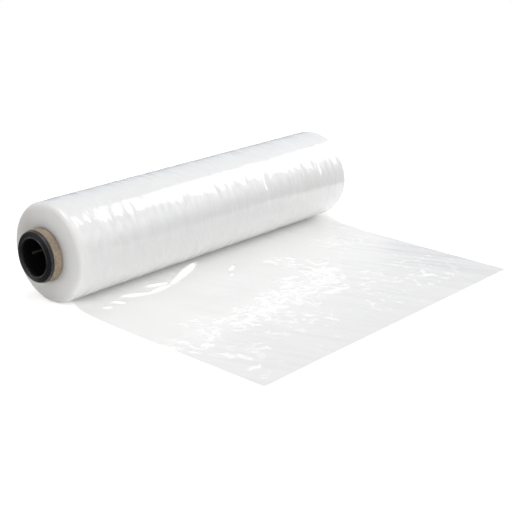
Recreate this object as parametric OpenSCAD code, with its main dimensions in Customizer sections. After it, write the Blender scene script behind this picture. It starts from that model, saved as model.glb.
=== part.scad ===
// Hand roll of clear stretch film on a cardboard core, with a plug in each end and its free tail laid out.
// The axis of the roll lies along X, the tail runs towards -Y, and the origin is the middle of the axis.

/* [Film roll] */
// Width of the film web, from end face to end face
film_w = 450; // [250:10:500]
// Outer diameter of the wound film
roll_d = 111; // [92:1:150]
// Rounding of the rim where the side meets an end face
rim_round = 6; // [2:0.5:9]
// How far the innermost turns stand out of an end face
end_dome = 4; // [0:0.25:6]
// Radial thickness of each group of turns that shows as a ring on an end face
turn_group = 1.6; // [0.8:0.1:4]
// Side to side wander of the groups of turns
turn_wander = 0.35; // [0:0.05:0.6]
// Depth of the slow gauge bands round the wound surface
gauge_depth = 0.35; // [0:0.05:0.5]
// Spacing of the points that draw the gauge bands along the roll
gauge_step = 6; // [4:0.5:12]
// Depth of the small flat that the roll presses on what it lies on
flat_depth = 0.6; // [0.55:0.05:1.5]

/* [Free tail] */
// Distance from the axis of the roll to the cut edge of the tail
tail_reach = 305; // [180:5:420]
// Thickness of the tail
tail_t = 0.8; // [0.6:0.1:1.5]
// Angle round from the lowest line of the roll at which the tail peels off
peel_angle = 31; // [24:1:38]
// Length over which the tail sinks to the surface, as an exponential fall
sink_len = 11.5; // [7:0.5:16]
// Inset of each tail edge from the end face at the peel line
edge_start = 6; // [3:0.5:9]
// Sideways place of the tail at the peel line, towards the far end
root_shift = 2; // [-2:0.5:3]
// Narrowing of the pulled tail at each edge
neck_in = 9; // [4:0.5:16]
// Sideways pull of the cut edge towards the near end
tail_skew = 8.3; // [-10:0.1:10]
// Length over which the narrowing and the sideways pull set in
neck_len = 35; // [15:1:60]

/* [Core] */
// Inner diameter of the cardboard core
core_bore = 50; // [46:1:62]
// Wall of the cardboard core
core_wall = 4; // [3:0.5:6]
// Radial clearance between the core and the innermost turn
wind_fit = 0.05; // [0.02:0.01:0.2]
// How far the core stands out beyond each end face of the film
core_out = 13.2; // [8:0.5:30]
// Rounding of the cut edges of the core
core_edge = 0.4; // [0.1:0.1:0.8]

/* [End plugs] */
// Diameter of the spindle bore through the plug's head
spindle_bore = 40; // [30:1:42]
// Depth of the head behind the core's end face, where the bore widens into the sleeve
head_depth = 1; // [0.5:0.1:6]
// Wall of the plug's sleeve
sleeve_wall = 2.8; // [1.5:0.1:3.6]
// Length of the sleeve inside the core
sleeve_len = 42; // [25:1:60]
// Radial clearance between the sleeve and the core
sleeve_fit = 0.1; // [0.05:0.05:0.3]
// Length of the lead-in taper at the sleeve's inner end
lead_in = 3; // [1:0.5:4]
// Thickness of the flange at its rim
flange_t = 3.8; // [2:0.1:6]
// Step from the outside of the core in to the flange's rim
flange_step = 1; // [0.5:0.1:2]
// Rounding of the flange's front rim
flange_round = 1; // [0.5:0.1:1.8]
// Rise of the flange's front face from its rim to the mouth bead
face_rise = 0.9; // [0.2:0.1:1.5]
// Radius of the bead round the mouth
bead_r = 0.75; // [0.5:0.05:1.1]
// Widening of the bore at the mouth
mouth_flare = 0.5; // [0.2:0.1:1]
// Depth of the widened mouth behind the bead
mouth_depth = 1.6; // [0.6:0.1:2.4]
// Number of slots that split the sleeve into spring fingers
slot_count = 4; // [2:1:6]
// Width of a slot
slot_w = 3; // [1.5:0.1:5]
// Distance from the core's end face in to the closed end of a slot
slot_start = 10.2; // [7:0.1:16]
// Angle of the first slot above the +Y direction
slot_turn = -11; // [-45:1:45]

/* [Hidden] */
$fn = 128;

roll_r = roll_d / 2;
core_r = core_bore / 2 + core_wall;
core_half = film_w / 2 + core_out;
floor_z = -(roll_r - flat_depth);
sleeve_r = core_bore / 2 - sleeve_fit;
inner_r = sleeve_r - sleeve_wall;
bore_r = spindle_bore / 2;
flange_r = core_r - flange_step;
mouth_r = bore_r + mouth_flare;
bead_z = flange_t + face_rise;
overlap = 2.5;
round_steps = 8;

// Small bevels that follow from the sizes above
lead_drop = lead_in / 4;
back_bevel = flange_round / 3;

// Slow waves as [height, turn per millimetre, start], and how the dome and the steps grow
gauge_mean = 0.5;
gauge_waves = [[0.22, 7.3, 20], [0.18, 13.1, 75], [0.1, 29.7, 140]];
wander_waves = [[0.6, 41, 0], [0.4, 97, 30]];
dome_power = 1.5;
sink_spans = 5.5;
sink_spacing = 1.6;
plan_spacing = 1.8;

// Lays a solid of revolution down, so that its Z axis becomes the roll's X axis.
module lay_down() {
    rotate([0, 90, 0]) children();
}

// Sum of the waves from number i on, at a place p.
function wave_sum(waves, p, i = 0) =
    i == len(waves) ? 0 : waves[i][0] * sin(waves[i][1] * p + waves[i][2]) + wave_sum(waves, p, i + 1);

// Slow, irregular swelling of the wound surface, from 0 to 1 along the roll.
function gauge(x) = gauge_mean + wave_sum(gauge_waves, x);
function side_r(x) = roll_r - gauge_depth * (1 - gauge(x));

// Sideways place of a group of turns, the same at both end faces.
function wander(r) = turn_wander * wave_sum(wander_waves, r);

// Distance of an end face from the middle of the roll at a given radius, before the wander.
wind_r = core_r + wind_fit;
face_top_r = roll_r - rim_round;
function face_x(r) = film_w / 2 + end_dome * pow((face_top_r - r) / (face_top_r - wind_r), dome_power);

// End face from the core outwards, as [radius, place] steps; side is -1 for the near end, 1 for the far end.
group_count = floor((face_top_r - wind_r) / turn_group);
group_t = (face_top_r - wind_r) / group_count;
function group_r(i) = wind_r + i * group_t;
function end_steps(side) = [
    for (i = [0 : group_count - 1], k = [0, 1])
        [group_r(i + k), side * face_x(group_r(i + 0.5)) + wander(group_r(i + 0.5))]
];

// Rounded rim from the end face to the side.
side_half = film_w / 2 - rim_round;
function rim_arc(side) = [
    for (i = [0 : round_steps])
        let (a = 90 * i / round_steps)
        [
            face_top_r + (side_r(side * side_half) - face_top_r) * sin(a),
            side * (side_half + rim_round * cos(a))
        ]
];

// Side of the roll between the rims, drawn through the gauge bands.
side_count = round(2 * side_half / gauge_step);
function side_line() = [
    for (i = [1 : side_count - 1])
        let (x = side_half - 2 * side_half * i / side_count)
        [side_r(x), x]
];

function reversed(list) = [for (i = [len(list) - 1 : -1 : 0]) list[i]];

module wound_turns() {
    lay_down()
        rotate_extrude()
            polygon(concat(
                end_steps(1), rim_arc(1), side_line(),
                reversed(rim_arc(-1)), reversed(end_steps(-1))
            ));
}

// Height of the tail's underside above the surface, at a distance from the peel line.
peel_y = -roll_r * sin(peel_angle);
peel_h = -roll_r * cos(peel_angle) - floor_z;
sink_run = sink_spans * sink_len;
function tail_h(s) = peel_h * exp(-s / sink_len);

// Distances from the peel line at which the sinking stretch is drawn, closer together where it is steep.
sink_steps = 16;
function sink_s(i) = sink_run * pow(i / sink_steps, sink_spacing);

function tail_under() = concat(
    [[peel_y + overlap, floor_z + tail_h(-overlap)]],
    [for (i = [0 : sink_steps - 1]) [peel_y - sink_s(i), floor_z + tail_h(sink_s(i))]],
    [[peel_y - sink_run - sink_len, floor_z], [-tail_reach, floor_z]]
);
function raised(list, h) = [for (p = list) [p[0], p[1] + h]];

// Inset of a tail edge; side is -1 for the near edge and 1 for the far edge.
tail_run = tail_reach + peel_y;
plan_steps = 14;
function plan_s(i) = tail_run * pow(i / plan_steps, plan_spacing);
function root_inset(side) = edge_start - side * root_shift;
function edge_inset(s, side) =
    root_inset(side) + (neck_in + side * tail_skew - root_inset(side)) * (1 - exp(-s / neck_len));
function tail_edge(side) = [
    for (i = [0 : plan_steps])
        [side * (film_w / 2 - edge_inset(plan_s(i), side)), peel_y - plan_s(i)]
];

module tail_section() {
    rotate([90, 0, 90])
        linear_extrude(film_w, center = true)
            polygon(concat(tail_under(), reversed(raised(tail_under(), tail_t))));
}

module tail_plan() {
    root_x = film_w / 2 - root_inset(-1);
    far_root_x = film_w / 2 - root_inset(1);
    translate([0, 0, floor_z - overlap])
        linear_extrude(roll_r)
            polygon(concat(
                [[-root_x, peel_y + 2 * overlap]],
                tail_edge(-1),
                reversed(tail_edge(1)),
                [[far_root_x, peel_y + 2 * overlap]]
            ));
}

module free_tail() {
    intersection() {
        tail_section();
        tail_plan();
    }
}

module below_flat() {
    translate([-film_w, -roll_r, floor_z - roll_r])
        cube([2 * film_w, 2 * roll_r, roll_r]);
}

// The wound turns and the free tail are one web of film.
module stretch_film() {
    color([0.93, 0.93, 0.93]) {
        difference() {
            wound_turns();
            below_flat();
        }
        free_tail();
    }
}

// Quarter turn of points round a corner, from angle a0 to a0 + 90.
function corner(cr, cz, radius, a0) = [
    for (i = [0 : round_steps])
        let (a = a0 + 90 * i / round_steps)
        [cr + radius * cos(a), cz + radius * sin(a)]
];

module cardboard_core() {
    low_z = -core_half + core_edge;
    high_z = core_half - core_edge;
    color([0.72, 0.62, 0.49])
        lay_down()
            rotate_extrude()
                polygon(concat(
                    [[core_bore / 2, -core_half]],
                    corner(core_r - core_edge, low_z, core_edge, -90),
                    corner(core_r - core_edge, high_z, core_edge, 0),
                    [[core_bore / 2, core_half]]
                ));
}

// Plug about its own Z axis: its flange stands on the core's end face at z = 0, with the sleeve below it.
function bead_arc() = [
    for (i = [0 : round_steps])
        let (a = 180 * i / round_steps)
        [mouth_r + bead_r + bead_r * cos(a), bead_z + bead_r * sin(a)]
];

module plug_body() {
    rotate_extrude()
        polygon(concat(
            [[inner_r, -sleeve_len], [sleeve_r - lead_drop, -sleeve_len], [sleeve_r, lead_in - sleeve_len]],
            [[sleeve_r, 0], [flange_r - back_bevel, 0], [flange_r, back_bevel]],
            corner(flange_r - flange_round, flange_t - flange_round, flange_round, 0),
            bead_arc(),
            [[bore_r, bead_z - mouth_depth], [bore_r, -head_depth], [inner_r, -head_depth]]
        ));
}

module sleeve_slots() {
    for (i = [0 : slot_count - 1])
        rotate(360 * i / slot_count)
            translate([inner_r - sleeve_wall, -slot_w / 2, -sleeve_len - sleeve_wall])
                cube([3 * sleeve_wall, slot_w, sleeve_len + sleeve_wall - slot_start]);
}

module end_plug() {
    color([0.09, 0.09, 0.1])
        difference() {
            plug_body();
            sleeve_slots();
        }
}

module near_end_plug() {
    translate([-core_half, 0, 0])
        rotate([0, -90, 0])
            rotate(90 - slot_turn)
                end_plug();
}

module far_end_plug() {
    mirror([1, 0, 0]) near_end_plug();
}

stretch_film();
cardboard_core();
near_end_plug();
far_end_plug();
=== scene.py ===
import math

import bmesh
import bpy
from mathutils import Matrix, Vector, noise


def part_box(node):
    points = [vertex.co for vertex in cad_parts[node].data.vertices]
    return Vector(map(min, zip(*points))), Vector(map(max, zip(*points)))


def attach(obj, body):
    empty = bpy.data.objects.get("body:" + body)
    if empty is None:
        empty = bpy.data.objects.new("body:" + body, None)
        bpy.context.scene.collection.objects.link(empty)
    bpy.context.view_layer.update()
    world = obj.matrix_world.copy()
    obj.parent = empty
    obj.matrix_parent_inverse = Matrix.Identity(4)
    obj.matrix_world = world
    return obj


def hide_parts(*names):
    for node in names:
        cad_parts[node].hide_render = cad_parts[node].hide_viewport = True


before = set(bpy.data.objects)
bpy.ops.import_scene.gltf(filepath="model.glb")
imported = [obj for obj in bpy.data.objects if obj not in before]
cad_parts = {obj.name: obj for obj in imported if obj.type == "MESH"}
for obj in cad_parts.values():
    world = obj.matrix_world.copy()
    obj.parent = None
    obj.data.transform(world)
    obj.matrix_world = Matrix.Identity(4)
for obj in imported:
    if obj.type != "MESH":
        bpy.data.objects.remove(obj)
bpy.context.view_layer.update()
mm = 0.001
seedStep = 17.3  # how far apart two layers of ripple lie

# The solids' boxes give the floor's height, the tail's reach and the core's radius.
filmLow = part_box("stretch_film")[0]
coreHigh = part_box("cardboard_core")[1]
floorZ = filmLow.z / mm
tailReach = -filmLow.y / mm
coreRadius = coreHigh.z / mm


def ease(low, high, value):
    # 0 at low, 1 at high and a soft S between
    share = min(max((value - low) / (high - low), 0), 1)
    return share * share * (3 - 2 * share)


def ripple(x, y, z, seed):
    return noise.noise(Vector((x, y, z + seedStep * seed)))


def makePiece(name, mesh, material):
    # turns a bmesh in millimetres into a shaded object at the origin
    bmesh.ops.scale(mesh, vec=(mm, mm, mm), verts=mesh.verts)
    data = bpy.data.meshes.new(name)
    mesh.to_mesh(data)
    mesh.free()
    data.shade_smooth()
    piece = bpy.data.objects.new(name, data)
    bpy.context.scene.collection.objects.link(piece)
    data.materials.append(material)
    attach(piece, "root")
    print("made", name, len(data.polygons), "faces")
    return piece


class Wire:
    # a node's output that takes part in sums
    def __init__(self, look, socket):
        self.look = look
        self.socket = socket

    def sum(self, operation, first, second=0.0):
        return self.look.wire("ShaderNodeMath", 0, {"operation": operation}, {0: first, 1: second})

    def __add__(self, other):
        return self.sum("ADD", self, other)

    def __sub__(self, other):
        return self.sum("SUBTRACT", self, other)

    def __rsub__(self, other):
        return self.sum("SUBTRACT", other, self)

    def __mul__(self, other):
        return self.sum("MULTIPLY", self, other)

    def __truediv__(self, other):
        return self.sum("DIVIDE", self, other)

    def __pow__(self, other):
        return self.sum("POWER", self, other)

    def __abs__(self):
        return self.sum("ABSOLUTE", self)

    __radd__ = __add__
    __rmul__ = __mul__


class Look:
    # one material's or world's node tree
    def __init__(self, owner):
        owner.use_nodes = True
        self.tree = owner.node_tree
        self.tree.nodes.clear()

    def node(self, kind, settings, inputs):
        made = self.tree.nodes.new(kind)
        for name, value in settings.items():
            setattr(made, name, value)
        for name, value in inputs.items():
            if isinstance(value, Wire):
                self.tree.links.new(value.socket, made.inputs[name])
            else:
                made.inputs[name].default_value = value
        return made

    def wire(self, kind, output, settings, inputs):
        return Wire(self, self.node(kind, settings, inputs).outputs[output])

    def place(self):
        # the three object coordinates in millimetres
        spot = self.wire("ShaderNodeTexCoord", "Object", {}, {})
        inputs = {0: spot, "Scale": 1 / mm}
        scaled = self.wire("ShaderNodeVectorMath", 0, {"operation": "SCALE"}, inputs)
        parts = self.node("ShaderNodeSeparateXYZ", {}, {0: scaled})
        return [Wire(self, parts.outputs[i]) for i in range(3)]

    def angle(self, over, along):
        return self.wire("ShaderNodeMath", 0, {"operation": "ARCTAN2"}, {0: over, 1: along})

    def noise(self, x, y, z, detail=2.0, roughness=0.5):
        spot = self.wire("ShaderNodeCombineXYZ", 0, {}, {0: x, 1: y, 2: z})
        inputs = {"Vector": spot, "Scale": 1.0, "Detail": detail, "Roughness": roughness}
        return self.wire("ShaderNodeTexNoise", 0, {}, inputs)

    def ease(self, low, high, value):
        settings = {"interpolation_type": "SMOOTHSTEP"}
        inputs = {"Value": value, "From Min": low, "From Max": high}
        return self.wire("ShaderNodeMapRange", 0, settings, inputs)

    def mix(self, share, first, second):
        first, second = [c if isinstance(c, Wire) else (*c, 1) for c in (first, second)]
        return self.wire("ShaderNodeMix", 2, {"data_type": "RGBA"}, {0: share, 6: first, 7: second})

    def bump(self, height):
        # height is in millimetres
        inputs = {"Height": height, "Distance": mm, "Strength": 1.0}
        return self.wire("ShaderNodeBump", 0, {}, inputs)

    def clear(self, colour):
        return self.wire("ShaderNodeBsdfTransparent", 0, {}, {"Color": (*colour, 1)})

    def blend(self, share, first, second):
        return self.wire("ShaderNodeMixShader", 0, {}, {0: share, 1: first, 2: second})

    def surface(self, shader):
        self.node("ShaderNodeOutputMaterial", {}, {"Surface": shader})


def newMaterial(name):
    material = bpy.data.materials.new(name)
    return material, Look(material)


# Wound film: a solid of revolution with gauge bands along its side and domed, ringed end faces.
roll = {
    "width": 450,
    "radius": 55.5,
    "rimRound": 6,
    "dome": 4,
    "domeCurve": 1.5,
    "boreFit": 0.05,
    "bandDepth": 0.35,
    "bandStep": 1.5,
    "swells": [(0.22, 7.3, 20), (0.18, 13.1, 75), (0.1, 29.7, 140)],  # share, degrees per mm, start
    "fineBands": [(0.03, 8, 1), (0.006, 2.6, 2)],  # height, length and seed
    "unevenTurn": 0.42,
    "longSwell": (8, 20),  # length along the roll and round it
    "shortSwell": (4, 11),
    "shortShare": 0.6,
    "calmPlace": (270, 60),  # x over which the long swells come in
    "turnWander": 0.12,
    "wanderStep": 1.8,
    "faceSteps": 22,
    "rimSteps": 8,
    "segments": 224,
}
half = roll["width"] / 2
sideHalf = half - roll["rimRound"]
faceTop = roll["radius"] - roll["rimRound"]
windRadius = coreRadius + roll["boreFit"]


def gauge(x):
    # slow swelling of the web, as in the solid
    return 0.5 + sum(a * math.sin(math.radians(k * x + p)) for a, k, p in roll["swells"])


def sideRadius(x):
    fine = sum(height * ripple(x / length, 0, 0, seed) for height, length, seed in roll["fineBands"])
    return roll["radius"] - roll["bandDepth"] * (1 - gauge(x)) + fine


def facePlace(r):
    share = (faceTop - r) / (faceTop - windRadius)
    wander = roll["turnWander"] * ripple(r / roll["wanderStep"], 0, 0, seed=3)
    return half + roll["dome"] * max(share, 0) ** roll["domeCurve"] + wander


def rimArc(side):
    # the rounded rim at one end, from the face's top to the side
    top = sideRadius(side * sideHalf)
    angles = [math.radians(90 * i / roll["rimSteps"]) for i in range(roll["rimSteps"] + 1)]
    return [
        (side * (sideHalf + roll["rimRound"] * math.cos(a)), faceTop + (top - faceTop) * math.sin(a))
        for a in angles
    ]


def rollProfile():
    # from the far end's inner turn out over the side to the near end's inner turn, as x and radius
    deep = faceTop - windRadius
    faceRadii = [windRadius + deep * i / roll["faceSteps"] for i in range(roll["faceSteps"])]
    face = [(facePlace(r), r) for r in faceRadii]
    sideSteps = round(2 * sideHalf / roll["bandStep"])
    sidePlaces = [sideHalf - 2 * sideHalf * i / sideSteps for i in range(1, sideSteps)]
    side = [(x, sideRadius(x)) for x in sidePlaces]
    return face + rimArc(1) + side + rimArc(-1)[::-1] + [(-x, r) for x, r in face[::-1]]


def bandSwell(spot, lengths, seed):
    along, around = lengths
    return ripple(spot.x / along, spot.y / around, spot.z / around, seed)


def filmRollMesh():
    mesh = bmesh.new()
    line = [mesh.verts.new((x, 0, r)) for x, r in rollProfile()]
    edges = [mesh.edges.new(pair) for pair in zip(line, line[1:] + line[:1])]
    bmesh.ops.spin(
        mesh, geom=line + edges, cent=(0, 0, 0), axis=(1, 0, 0), angle=math.tau,
        steps=roll["segments"], use_merge=True,
    )
    bmesh.ops.recalc_face_normals(mesh, faces=mesh.faces)
    for v in mesh.verts:
        radius = math.hypot(v.co.y, v.co.z)
        if radius > faceTop:
            # the bands of the outer turns swell and fade on their way round
            share = ease(half, sideHalf, abs(v.co.x))
            long = ease(*roll["calmPlace"], v.co.x) * bandSwell(v.co, roll["longSwell"], seed=9)
            short = roll["shortShare"] * bandSwell(v.co, roll["shortSwell"], seed=12)
            uneven = share * roll["unevenTurn"] * (long + short)
            v.co.y, v.co.z = v.co.y * (1 + uneven / radius), v.co.z * (1 + uneven / radius)
        v.co.z = max(v.co.z, floorZ)  # the small flat under the roll
    return mesh


# Its finish: places in mm, steps of noise per mm, heights in mm, shares and colours.
filmFinish = {
    "endPlace": (5, 1),  # how far in from the end the side's finish gives way to the face's
    "rimLightPlace": (38, 54),  # radius over which painted light pales the face towards the rim
    "belowPlace": (40, 58),  # way round from the top to below the highlight
    "lowerPlace": (82, 96),  # way round to the lower side
    "wideStep": (0.08, 0.014),  # along the roll and round it
    "fineStep": (0.30, 0.03),
    "slowStep": (0.03, 0.02),
    "streakStep": (0.28, 0.05),
    "streakSlant": 0.6,
    "ringStep": (1.3, 0.02, 0.01),
    "bandShares": (0.6, 0.4),  # wide and fine
    "bandRange": (0.37, 0.63),
    "fleckRange": (0.34, 0.66),
    "topShare": 0.3,
    "lowerFade": 0.6,
    "fleckShare": 0.55,
    "sideDark": (0.875, 0.88, 0.887),
    "sidePale": (0.955, 0.955, 0.955),
    "slowColour": (0.91, 0.91, 0.91),
    "slowShare": 0.5,
    "facePlace": (45, -45),  # y over which the face's painted light goes from shaded to lit
    "faceShaded": (0.73, 0.715, 0.69),
    "faceLit": (0.985, 0.965, 0.93),
    "paintedLightHeight": (5, 48),  # z and y of the warm quarter, a painted warm light on the face's top
    "paintedLightSide": (38, 2),
    # colour of the painted warm light
    "paintedLightColour": (1, 0.955, 0.90),
    # painted light at the rim
    "rimLightColour": (0.93, 0.92, 0.90),
    "rimLightShare": 0.3,
    "ringColour": (0.90, 0.88, 0.85),
    "ringShare": 0.25,
    "fineRelief": 0.22,
    "wideRelief": 0.15,
    "streakRelief": 0.15,
    "ringRelief": 0.05,
    "sideRoughness": 0.03,
    "bandRoughness": 0.05,
    "endRoughness": 0.45,
}


def filmRollMaterial():
    material, look = newMaterial("woundFilm")
    f = filmFinish
    x, y, z = look.place()
    radius = (y * y + z * z) ** 0.5
    arc = look.angle(0 - y, z) * roll["radius"]  # way round from the top, towards the tail
    end = look.ease(*[half - inset for inset in f["endPlace"]], abs(x))
    rimLight = look.ease(*f["rimLightPlace"], radius)
    below = look.ease(*f["belowPlace"], arc)
    lower = look.ease(*f["lowerPlace"], arc)

    # each layer of noise has its own third coordinate
    wide = look.noise(x * f["wideStep"][0], arc * f["wideStep"][1], 0)
    fine = look.noise(x * f["fineStep"][0], arc * f["fineStep"][1], 5)
    slow = look.noise(x * f["slowStep"][0], arc * f["slowStep"][1], 9)
    slanted = (x - arc * f["streakSlant"]) * f["streakStep"][0]
    streak = look.noise(slanted, arc * f["streakStep"][1], 3, detail=3, roughness=0.6)
    outward, inward, across = f["ringStep"]
    rings = look.noise(radius * outward, x * inward, y * across, detail=3)

    bands = look.ease(*f["bandRange"], wide * f["bandShares"][0] + fine * f["bandShares"][1])
    flecks = look.ease(*f["fleckRange"], streak)
    # the bands are real gauge bands; their contrast is painted strongest below the highlight and
    # faint on the lower side, partly a painted reflection
    strength = (f["topShare"] + (1 - f["topShare"]) * below) * (1 - f["lowerFade"] * lower)
    pattern = 0.5 + (bands - 0.5) * strength + (flecks - 0.5) * f["fleckShare"] * lower
    sideColour = look.mix(pattern, f["sideDark"], f["sidePale"])
    sideColour = look.mix(slow * f["slowShare"], sideColour, f["slowColour"])

    # painted light and shade: the end face is lit towards -y and shaded towards +y
    faceColour = look.mix(look.ease(*f["facePlace"], y), f["faceShaded"], f["faceLit"])
    # painted light: a warm, lighter quarter at the top of the end face
    glow = look.ease(*f["paintedLightHeight"], z) * look.ease(*f["paintedLightSide"], y)
    faceColour = look.mix(glow, faceColour, f["paintedLightColour"])
    # painted light: the rim is paler, standing in for light glowing through the film's edge
    faceColour = look.mix(rimLight * f["rimLightShare"], faceColour, f["rimLightColour"])
    faceColour = look.mix(rings * f["ringShare"], faceColour, f["ringColour"])

    relief = fine * f["fineRelief"] + wide * f["wideRelief"]
    relief = relief + streak * lower * f["streakRelief"] + rings * end * f["ringRelief"]
    look.surface(look.wire("ShaderNodeBsdfPrincipled", 0, {}, {
        "Base Color": look.mix(end, sideColour, faceColour),
        "Roughness": f["sideRoughness"] + f["bandRoughness"] * bands + f["endRoughness"] * end,
        "IOR": 1.56,
        "Coat Weight": 0.5,
        "Coat Roughness": 0.28,
        "Subsurface Weight": 0.9,
        "Subsurface Radius": (1.0, 0.97, 0.92),
        "Subsurface Scale": 0.03,
        "Normal": look.bump(relief),
    }))
    return material


# Free tail: one thin sheet that leaves the roll, sinks to the floor and lies there, crinkled.
tail = {
    "peelAngle": 31,
    "sinkLength": 11.5,
    "settleLength": 30,
    "lift": 0.35,
    "liftSpent": 0.8,  # how much of the lift a dip may take
    "edgeStart": 6,
    "rootShift": 2,
    "neckIn": 9,
    "skew": 8.3,
    "neckLength": 35,
    "spacing": 2.4,
    "pillows": [(0.10, 28, 34, 5), (0.05, 9, 12, 6)],  # height, size in x and y, and seed
    "webTurn": (0.94, 0.35),  # cosine and sine of the way that the far side is stretched
    "webWave": (0.2, 8, 90),  # height, size across the web's way and along it
    "webPlaces": ((20, 150), (-40, -90)),  # x and y over which the waves come in
    "patchTurn": 41,
    "patchEdge": (1.75, 0.8),
    "patchRagged": (0.45, 17),  # depth and size
    "crease": 17,
    "creaseHeight": 1.0,
    "creaseBend": (3, 11),  # depth and size
    "creaseWidths": (0.055, 0.07),
    "secondCrease": (0.65, 0.85),  # size and height beside the first one's
    "breakShare": (0.85, 0.4),  # how far the patch closes the breaks in its creases
    "breakDepth": (1.2, 8, 11),  # depth and size in x and y
    "breakRise": 0.3,
    "creaseGlint": (0.35, 0.6),  # how clear a crease is made, a painted glint, outside a patch and more inside it
    "pleatGlint": 0.8,  # height at which a pleat is quite clear, a painted glint
    "foldStart": 5,
    "flatLength": 279,
}
# Patches of crinkled film: middle in x and y, reach along and across their turn, and height.
crinklePatches = [
    (34, -172, 42, 23, 1.0),
    (-15, -175, 37, 22, 1.0),
    (-56, -171, 26, 17, 1.0),
    (-97, -186, 19, 23, 1.0),
    (-129, -184, 19, 21, 1.0),
    (-161, -180, 23, 12, 0.9),
    (-186, -195, 15, 9, 0.9),
    (-217, -190, 17, 18, 0.8),
    (-156, -152, 16, 14, 0.5),
    (45, -101, 17, 21, 0.6),
    (72, -135, 17, 19, 0.6),
    (-169, -241, 20, 14, 0.55),
    (-195, -227, 12, 15, 0.55),
    (-205, -280, 14, 10, 0.6),
    (-118, -237, 12, 14, 0.6),
    (-75, -225, 20, 30, 0.55),
    (148, -103, 24, 30, 0.6),
    (54, -229, 55, 26, 0.45),
    (138, -232, 48, 30, 0.4),
]
# Pleats that stand up beside the roll: both ends in x and y, half width and slope.
pleats = [
    (-103, -59, -30, -34, 3.8, 1.96),
    (-128, -45, -98, -54, 3.6, 0.85),
    (-142, -61, -98, -59, 3.2, 0.85),
    (-166, -47, -134, -61, 4.0, 0.85),
    (-182, -50, -172, -63, 3.2, 0.85),
    (-200, -56, -190, -62, 2.6, 0.85),
    (-20, -74, -4, -68, 2.2, 1.6),
    (-32, -87, -24, -84, 2.0, 0.6),
]
# Where the sheet gets a finer mesh: the least share or height, and the cuts.
finerPlaces = {"patches": (0.22, 2), "pleats": (0.0, 3)}


def edgeInset(s, side):
    # how far the edge has run in at s millimetres from the roll
    root = tail["edgeStart"] - side * tail["rootShift"]
    cut = tail["neckIn"] + side * tail["skew"]
    return root + (cut - root) * (1 - math.exp(-s / tail["neckLength"]))


def webPlace(x, y):
    # across the stretched web's way and along it, for numbers and for wires
    cosine, sine = tail["webTurn"]
    return x * cosine + y * sine, y * cosine - x * sine


def crinkleShare(x, y):
    turn = math.radians(tail["patchTurn"])
    depth, size = tail["patchRagged"]
    away = depth * ripple(x / size, y / size, 0, seed=4)
    share = 0
    for cx, cy, along, across, height in crinklePatches:
        dx, dy = x - cx, y - cy
        forward = (dx * math.cos(turn) + dy * math.sin(turn)) / along
        sideways = (dy * math.cos(turn) - dx * math.sin(turn)) / across
        share = max(share, height * ease(*tail["patchEdge"], math.hypot(forward, sideways) + away))
    return share


def pleatHeight(x, y):
    height = 0
    for x0, y0, x1, y1, reach, slope in pleats:
        length = math.hypot(x1 - x0, y1 - y0)
        along = ((x - x0) * (x1 - x0) + (y - y0) * (y1 - y0)) / length ** 2
        if 0 < along < 1:
            aside = ((y - y0) * (x1 - x0) - (x - x0) * (y1 - y0)) / length
            height = max(height, slope * (reach * (1 - abs(2 * along - 1) ** 3) - abs(aside)))
    return height


def crease(x, y):
    # sharp folds along the zero lines of two layers of noise
    size = tail["crease"]
    smaller, lower = tail["secondCrease"]
    firstWidth, secondWidth = tail["creaseWidths"]
    depth, bendSize = tail["creaseBend"]
    bend = depth * ripple(x / bendSize, y / bendSize, 0, seed=7)
    first = ripple((x + bend) / size, (y - bend) / size, 0, seed=10) / firstWidth
    second = ripple((x - bend) / (smaller * size), y / (smaller * size), 0, seed=11) / secondWidth
    return max(math.exp(-first * first), lower * math.exp(-second * second))


def creaseRidge(x, y, share):
    # the creases, broken off here and there
    closed, opened = tail["breakShare"]
    depth, sizeX, sizeY = tail["breakDepth"]
    whole = closed * share - opened + depth * ripple(x / sizeX, y / sizeY, 0, seed=13)
    return ease(0, tail["breakRise"], whole) * crease(x, y)


def pillow(x, y):
    # soft swells, and the waves of the stretched far side
    swell = sum(
        depth * ripple(x / sizeX, y / sizeY, 0, seed) for depth, sizeX, sizeY, seed in tail["pillows"]
    )
    aside, along = webPlace(x, y)
    height, across, length = tail["webWave"]
    placeX, placeY = tail["webPlaces"]
    farSide = ease(*placeX, x) * ease(*placeY, y)
    return swell + height * ripple(aside / across, along / length, 0, seed=8) * farSide


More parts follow.
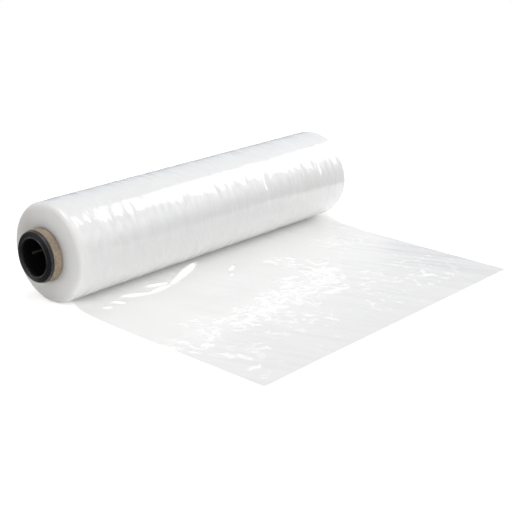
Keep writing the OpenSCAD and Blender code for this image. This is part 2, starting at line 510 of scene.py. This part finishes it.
def filmTailMesh():
    peel = math.radians(tail["peelAngle"])
    peelY = -roll["radius"] * math.sin(peel)
    peelHeight = -roll["radius"] * math.cos(peel) - floorZ
    run = tailReach + peelY
    mesh = bmesh.new()
    bmesh.ops.create_grid(
        mesh, x_segments=round(roll["width"] / tail["spacing"]),
        y_segments=round(run / tail["spacing"]), size=0.5,
    )
    for v in mesh.verts:
        u, s = v.co.x + 0.5, (0.5 - v.co.y) * run
        nearEdge = -half + edgeInset(s, -1)
        farEdge = half - edgeInset(s, 1)
        v.co = (nearEdge + u * (farEdge - nearEdge), peelY - s, 0)
    for folded, (least, cuts) in (
        (crinkleShare, finerPlaces["patches"]), (pleatHeight, finerPlaces["pleats"]),
    ):
        for face in mesh.faces:
            face.tag = folded(*face.calc_center_median().xy) > least
        edges = [e for e in mesh.edges if any(f.tag for f in e.link_faces)]
        bmesh.ops.subdivide_edges(mesh, edges=edges, cuts=cuts, use_grid_fill=True)
    glintFold = mesh.verts.layers.float.new("glintFold")
    glintOutside, glintInside = tail["creaseGlint"]
    for v in mesh.verts:
        x, y = v.co.xy
        s = peelY - y
        settled = ease(0, tail["settleLength"], s)
        share = crinkleShare(x, y)
        ridge = creaseRidge(x, y, share)
        pleat = pleatHeight(x, y)
        folds = tail["creaseHeight"] * ridge * (0.5 + 0.5 * share) + pleat
        height = peelHeight * math.exp(-s / tail["sinkLength"]) + tail["lift"] * settled
        swell = max(settled * pillow(x, y), -tail["lift"] * tail["liftSpent"])
        v.co.z = floorZ + height + swell + folds * ease(0, tail["foldStart"], s)
        # painted glints: how clear each crease and pleat is made
        glintRidge = ridge * (glintOutside + glintInside * share)
        v[glintFold] = max(glintRidge, ease(0, tail["pleatGlint"], pleat))
    return mesh


# Its finish: the light that each part passes, the places in mm and the noise's steps per mm.
tailFinish = {
    "nearLight": (0.842, 0.840, 0.838),
    "frontShadeLight": (0.792, 0.790, 0.788),
    "frontShadePlace": (-120, -310),  # y over which the near film's light gives way to the front's painted shade
    # light passed by the web's bands and by the far side's painted shade
    "bandAndShadeLight": (0.70, 0.70, 0.705),
    # painted glint: folds pass all the light
    "glintLight": (1, 1, 1),
    "farSlant": 0.62,
    "farPlace": (245, 290),  # x times the slant, less y
    "farAside": (-15, 130),
    "webStep": (0.11, 0.008),
    "webRange": (0.40, 0.66),
    "webDense": 0.2,
    "farShade": (0.3, 0.5),  # painted shade on the far side, and more in its bands
    "fineStep": (0.5, 0.35),
    "fineRelief": 0.05,
    "drawnStep": (0.22, 0.012),
    "drawnRelief": 0.08,
    "roughness": 0.07,
    "index": 1.5,
    "mostMirror": 0.24,
}


def filmTailMaterial():
    material, look = newMaterial("clearFilm")
    f = tailFinish
    x, y = look.place()[:2]
    glintFold = look.wire("ShaderNodeAttribute", 2, {"attribute_name": "glintFold"}, {})
    fine = look.noise(x * f["fineStep"][0], y * f["fineStep"][1], 0, detail=3, roughness=0.6)
    drawn = look.noise(x * f["drawnStep"][0], y * f["drawnStep"][1], 0, detail=3)
    relief = look.bump(fine * f["fineRelief"] + drawn * f["drawnRelief"])

    # the far side is stretched in bands along the web, which pass less light, and carries painted
    # shade for the darker surroundings it mirrors; folds pass more light, as painted glints
    aside, along = webPlace(x, y)
    farSide = look.ease(*f["farPlace"], x * f["farSlant"] - y) * look.ease(*f["farAside"], aside)
    web = look.noise(aside * f["webStep"][0], along * f["webStep"][1], 2, detail=3)
    web = look.ease(*f["webRange"], web)
    bandsAndShade = web * f["webDense"] + farSide * (f["farShade"][0] + f["farShade"][1] * web)
    # painted shade: the film passes less light towards the front
    frontShade = look.ease(*f["frontShadePlace"], y)
    film = look.blend(frontShade, look.clear(f["nearLight"]), look.clear(f["frontShadeLight"]))
    film = look.blend(bandsAndShade, film, look.clear(f["bandAndShadeLight"]))
    # painted glints: folds pass all the light, so they show white
    film = look.blend(glintFold, film, look.clear(f["glintLight"]))

    inputs = {"Roughness": f["roughness"], "Normal": relief}
    gloss = look.wire("ShaderNodeBsdfAnisotropic", 0, {}, inputs)
    mirror = look.wire("ShaderNodeFresnel", 0, {}, {"IOR": f["index"], "Normal": relief})
    mirror = mirror.sum("MINIMUM", mirror, f["mostMirror"])
    look.surface(look.blend(mirror, film, gloss))
    return material


# Cardboard of the core: a spiral seam, fibres and specks.
board = {
    "seamLead": 96,
    "seamWidth": 0.012,
    "seamColour": (0.22, 0.155, 0.095),
    "seamShare": 0.5,
    "fibreStep": 0.45,
    "cloudStep": 0.08,
    "fibreShare": 0.7,
    "fibreRange": (0.3, 0.7),
    "fibreDark": (0.225, 0.17, 0.115),
    "fibrePale": (0.385, 0.32, 0.235),
    "speckStep": 1.7,
    "speckRange": (0.66, 0.74),
    "speckColour": (0.33, 0.20, 0.10),
    "speckShare": 0.45,
    "roughness": (0.78, 0.12),  # and more with the fibres
    "relief": 0.10,
}


def boardMaterial():
    material, look = newMaterial("spiralBoard")
    spot = look.place()
    x, y, z = spot
    turn = look.angle(z, y) / math.tau
    seam = look.wire("ShaderNodeMath", 0, {"operation": "FRACT"}, {0: x / board["seamLead"] + turn})
    seam = look.ease(board["seamWidth"], 0.0, abs(seam - 0.5))
    fibre = look.noise(*[c * board["fibreStep"] for c in spot], detail=4, roughness=0.65)
    speck = look.ease(*board["speckRange"], look.noise(*[c * board["speckStep"] for c in spot]))
    cloud = look.noise(*[c * board["cloudStep"] for c in spot])
    tone = fibre * board["fibreShare"] + cloud * (1 - board["fibreShare"])
    colour = look.mix(look.ease(*board["fibreRange"], tone), board["fibreDark"], board["fibrePale"])
    colour = look.mix(speck * board["speckShare"], colour, board["speckColour"])
    colour = look.mix(seam * board["seamShare"], colour, board["seamColour"])
    look.surface(look.wire("ShaderNodeBsdfPrincipled", 0, {}, {
        "Base Color": colour,
        "Roughness": board["roughness"][0] + fibre * board["roughness"][1],
        "Normal": look.bump(fibre * board["relief"] - seam * board["relief"]),
    }))
    return material


# Black plastic of the plugs: a fine grain and a few scuffs.
plug = {
    "grainStep": 2.4,
    "grainRelief": 0.02,
    "scuffStep": 0.35,
    "dark": (0.004, 0.004, 0.005),
    "pale": (0.013, 0.013, 0.015),
    "roughness": (0.16, 0.16),  # and more with the scuffs
}


def plugMaterial():
    material, look = newMaterial("blackPlastic")
    spot = look.place()
    grain = look.noise(*[c * plug["grainStep"] for c in spot], detail=3)
    scuff = look.noise(*[c * plug["scuffStep"] for c in spot], detail=4, roughness=0.6)
    look.surface(look.wire("ShaderNodeBsdfPrincipled", 0, {}, {
        "Base Color": look.mix(scuff, plug["dark"], plug["pale"]),
        "Roughness": plug["roughness"][0] + scuff * plug["roughness"][1],
        "Normal": look.bump(grain * plug["grainRelief"]),
    }))
    return material


print("film")
filmRoll = makePiece("filmRoll", filmRollMesh(), filmRollMaterial())
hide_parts("stretch_film")
filmTail = makePiece("filmTail", filmTailMesh(), filmTailMaterial())
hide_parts("stretch_film")

print("core and plugs")
blackPlastic = plugMaterial()
cadFinishes = {
    "cardboard_core": boardMaterial(),
    "near_end_plug": blackPlastic,
    "far_end_plug": blackPlastic,
}
for name, material in cadFinishes.items():
    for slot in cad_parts[name].material_slots:
        slot.material = material

# Studio: a floor that shows white but keeps the shadow, with a painted shadow under the roll, soft
# lamps, and cards for mirrored rays.
studio = {
    "floorHalf": 1500,
    "floorColour": (0.86, 0.86, 0.86),
    "floorGlow": 0.53,
    # painted shadow under the roll, in the floor's glow
    "paintedShadowTone": (0.20, 0.20, 0.20),
    "shadowAcrossRoll": (5, 48),  # y over which the painted shadow under the roll ends
    "shadowPastEnds": (-40, 60),  # the same in x, beyond the roll's own end
    "endPush": 100,
    "ambient": 0.47,
}
lamps = {
    "keyLamp": {
        "centre": (900, 300, 1500),
        "along": (0.851, -0.431, 0),
        "facing": (-0.35, -0.2, -0.9),
        "size": (1800, 1400),
        "watts": 12.5,
        "colour": (0.97, 0.985, 1),
    },
    "frontLamp": {
        "centre": (-480, -1550, 1150),
        "along": (0.95, -0.30, 0),
        "facing": (0.25, 0.78, -0.58),
        "size": (1700, 1200),
        "watts": 12.6,
        "colour": (1, 0.99, 0.97),
    },
    "tableLamp": {
        "centre": (-40, -62, floorZ + 0.2),
        "along": (1, 0, 0),
        "facing": (0, 0, 1),
        "size": (720, 40),
        "watts": 0.043,
        "colour": (1, 0.98, 0.94),
    },
}
# Cards: four corners and a tone, or a tone at a low z that turns into another at a high z.
cards = {
    "softboxCard": {
        "corners": ((806, -16, 1375), (1275, 47, 887), (794, -591, 1222), (1325, -692, 620)),
        "tone": (5, 5, 5),
    },
    "ceilingCard": {
        "corners": ((-1000, -1400, 1450), (650, -1400, 1450), (-1000, 600, 1450), (650, 600, 1450)),
        "tone": (2.2, 2.2, 2.2),
    },
    "rimCard": {
        "corners": ((-800, -300, 1440), (-340, -300, 1440), (-800, 300, 1440), (-340, 300, 1440)),
        "tone": (7.5, 7.5, 7.5),
    },
    "skirtCard": {
        "corners": ((1680, -650, -60), (180, 1975, -60), (1680, -650, 350), (180, 1975, 350)),
        "tone": (0.42, 0.44, 0.47), "upperTone": (0.74, 0.77, 0.82), "heights": (20, 350),
    },
    "lowCard": {
        "corners": ((1400, -800, 0), (1400, 300, 0), (1400, -800, 700), (1400, 300, 700)),
        "tone": (5, 5, 5),
    },
    "wallCard": {
        "corners": ((1700, -650, -60), (200, 1975, -60), (1700, -650, 2200), (200, 1975, 2200)),
        "tone": (0.74, 0.77, 0.82), "upperTone": (1, 1, 1), "heights": (400, 1200),
    },
    "flagCard": {
        "corners": ((411, -916, -112), (790, -456, -181), (515, -790, 710), (838, -398, 352)),
        "tone": (0.02, 0.02, 0.02), "upperTone": (2, 2, 2), "heights": (20, 620),
    },
    "flagFootCard": {
        "corners": ((99, -504, -54), (385, -158, -54), (411, -916, -54), (790, -456, -54)),
        "tone": (0.02, 0.02, 0.02),
    },
    "floorCard": {
        "corners": ((-1200, -150, -54), (-262, -150, -54), (-1200, 1200, -54), (-262, 1200, -54)),
        "tone": (0.12, 0.12, 0.12),
    },
    "backCard": {
        "corners": ((-261, 62, -54), (900, 62, -54), (-261, 1200, -54), (900, 1200, -54)),
        "tone": (0.45, 0.46, 0.47),
    },
}


def shownRays(look):
    # 1 for the rays that show the background: straight, mirrored and through film
    path = look.node("ShaderNodeLightPath", {}, {})
    names = ("Is Camera Ray", "Is Glossy Ray", "Is Transmission Ray")
    camera, glossy, through = [Wire(look, path.outputs[n]) for n in names]
    return look.wire("ShaderNodeClamp", 0, {}, {0: camera + glossy + through})


def aimed(centre, along, facing):
    # X along, and the back of the panel up local Z
    along = Vector(along).normalized()
    across = Vector(facing).cross(along).normalized()
    turn = Matrix((along, -across, across.cross(along))).transposed()
    return Matrix.Translation(Vector(centre) * mm) @ turn.to_4x4()


def makeStage(name, material, corners):
    mesh = bmesh.new()
    bmesh.ops.create_grid(mesh, x_segments=1, y_segments=1, size=1)
    for v, corner in zip(mesh.verts, corners):
        v.co = Vector(corner) * mm
    data = bpy.data.meshes.new(name)
    mesh.to_mesh(data)
    mesh.free()
    data.materials.append(material)
    panel = bpy.data.objects.new(name, data)
    bpy.context.scene.collection.objects.link(panel)
    return panel


def makeFloor():
    material, look = newMaterial("paleFloor")
    matt = look.wire("ShaderNodeBsdfDiffuse", 0, {}, {"Color": (*studio["floorColour"], 1)})
    x, y = look.place()[:2]
    pastEnd = look.ease(*[half + reach for reach in studio["shadowPastEnds"]], abs(x))
    away = look.ease(*studio["shadowAcrossRoll"], abs(y) + pastEnd * studio["endPush"])
    # painted shadow: the floor's glow is darkened under the roll
    tone = look.mix(away, studio["paintedShadowTone"], (1, 1, 1))
    strength = shownRays(look) * studio["floorGlow"]
    glow = look.wire("ShaderNodeEmission", 0, {}, {"Color": tone, "Strength": strength})
    look.surface(look.wire("ShaderNodeAddShader", 0, {}, {0: matt, 1: glow}))
    side = studio["floorHalf"]
    makeStage("studioFloor", material, [(x, y, floorZ) for y in (-side, side) for x in (-side, side)])


def makeCard(name, corners, tone, upperTone=None, heights=(0, 1000)):
    material, look = newMaterial(name)
    colour = look.mix(look.ease(*heights, look.place()[2]), tone, upperTone or tone)
    look.surface(look.wire("ShaderNodeEmission", 0, {}, {"Color": colour}))
    card = makeStage(name, material, corners)
    card.visible_camera = card.visible_diffuse = False
    card.visible_shadow = card.visible_transmission = False


def makeLamp(name, centre, along, facing, size, watts, colour):
    light = bpy.data.lights.new(name, "AREA")
    light.shape = "RECTANGLE"
    light.size, light.size_y = [s * mm for s in size]
    light.energy = watts
    light.color = colour
    lamp = bpy.data.objects.new(name, light)
    lamp.matrix_world = aimed(centre, along, facing)
    lamp.visible_camera = lamp.visible_glossy = lamp.visible_transmission = False
    bpy.context.scene.collection.objects.link(lamp)


def makeWorld():
    world = bpy.data.worlds.new("studioWorld")
    bpy.context.scene.world = world
    look = Look(world)
    strength = studio["ambient"] + shownRays(look) * (1 - studio["ambient"])
    sky = look.wire("ShaderNodeBackground", 0, {}, {"Color": (1, 1, 1, 1), "Strength": strength})
    look.node("ShaderNodeOutputWorld", {}, {"Surface": sky})


# The photograph's camera: place and lens in mm, and angles in degrees.
shot = {
    "place": (-972.14, -942.26, 421.26),
    "heading": 41.0,
    "dip": 19.56,
    "roll": 0.99,
    "lens": 83.42,
    "sensor": 36,
    "farthest": 100,  # metres
}


def makeCamera():
    heading, dip, lean = [math.radians(shot[k]) for k in ("heading", "dip", "roll")]
    ahead = Vector((
        math.cos(heading) * math.cos(dip), math.sin(heading) * math.cos(dip), -math.sin(dip)
    ))
    right = Vector((math.sin(heading), -math.cos(heading), 0))
    up = right.cross(ahead)
    leanRight = math.cos(lean) * right + math.sin(lean) * up
    leanUp = math.cos(lean) * up - math.sin(lean) * right
    data = bpy.data.cameras.new("camera")
    data.lens, data.sensor_width = shot["lens"], shot["sensor"]
    data.clip_end = shot["farthest"]
    camera = bpy.data.objects.new("camera", data)
    turn = Matrix((leanRight, leanUp, -ahead)).transposed()
    camera.matrix_world = Matrix.Translation(Vector(shot["place"]) * mm) @ turn.to_4x4()
    bpy.context.scene.collection.objects.link(camera)
    bpy.context.scene.camera = camera


print("studio")
makeFloor()
for name, values in lamps.items():
    makeLamp(name, **values)
for name, values in cards.items():
    makeCard(name, **values)
makeWorld()
makeCamera()
bpy.context.scene.view_settings.view_transform = "Standard"
